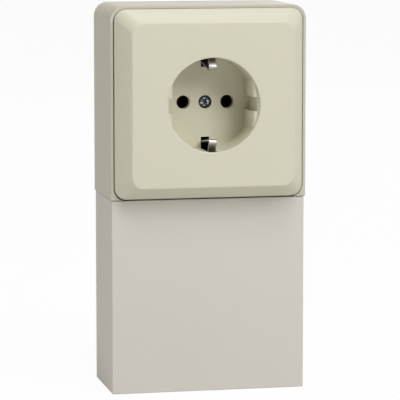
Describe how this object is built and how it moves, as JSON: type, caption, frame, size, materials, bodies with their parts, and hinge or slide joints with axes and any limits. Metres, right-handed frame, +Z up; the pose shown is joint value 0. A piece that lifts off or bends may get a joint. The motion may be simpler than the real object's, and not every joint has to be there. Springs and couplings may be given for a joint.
{
  "type": "schuko socket",
  "caption": "Surface-mounted two-pole wall socket with side earth clips in a round well, on a plain connection casing of the same width.",
  "frame": {"origin": "on the wall plane, where the axis through the middle of the well meets the back of the surface box", "axes": "+Z up, +Y into the wall, +X to the right as seen from the front; the front faces -Y"},
  "size_m": [0.084, 0.0496, 0.1641],
  "materials": {
    "box_plastic": "satin moulded, cream",
    "casing_plastic": "fine matt moulded, cream",
    "cover_plastic": "satin moulded, cream",
    "insert_plastic": "dark moulded thermoset",
    "zinc_plated_steel": "blue zinc plate",
    "plated_brass": "nickel plate",
    "bare_brass": "stamped"
  },
  "bodies": {
    "root": {"surface_box": "box_plastic", "lower_casing": "casing_plastic", "lower_base_plate": "casing_plastic", "cover_plate": "cover_plastic", "cover_screw": "zinc_plated_steel", "support_frame": "zinc_plated_steel", "insert_base": "insert_plastic", "insert_rear_cover": "insert_plastic", "earth_strap": "plated_brass", "clamp_earth": "zinc_plated_steel", "terminal_screw_earth": "zinc_plated_steel", "rivet_top": "plated_brass", "rivet_bottom": "plated_brass", "contact_left": "bare_brass", "clamp_left": "zinc_plated_steel", "terminal_screw_left": "zinc_plated_steel", "frame_screw_left": "zinc_plated_steel", "joining_screw_left": "zinc_plated_steel", "contact_right": "bare_brass", "clamp_right": "zinc_plated_steel", "terminal_screw_right": "zinc_plated_steel", "frame_screw_right": "zinc_plated_steel", "joining_screw_right": "zinc_plated_steel"},
    "clip_top": {"earth_clip_top": "plated_brass"},
    "clip_bottom": {"earth_clip_bottom": "plated_brass"}
  },
  "joints": [
    {"name": "clip_top_flex", "type": "hinge", "parent": "root", "child": "clip_top", "pos_m": [0, -0.0091, 0.0176], "axis": [-1, 0, 0], "range_deg": [0, 2.5], "stiffness_Nm_per_rad": 1},
    {"name": "clip_bottom_flex", "type": "hinge", "parent": "root", "child": "clip_bottom", "pos_m": [0, -0.0091, -0.0176], "axis": [1, 0, 0], "range_deg": [0, 2.5], "stiffness_Nm_per_rad": 1}
  ]
}
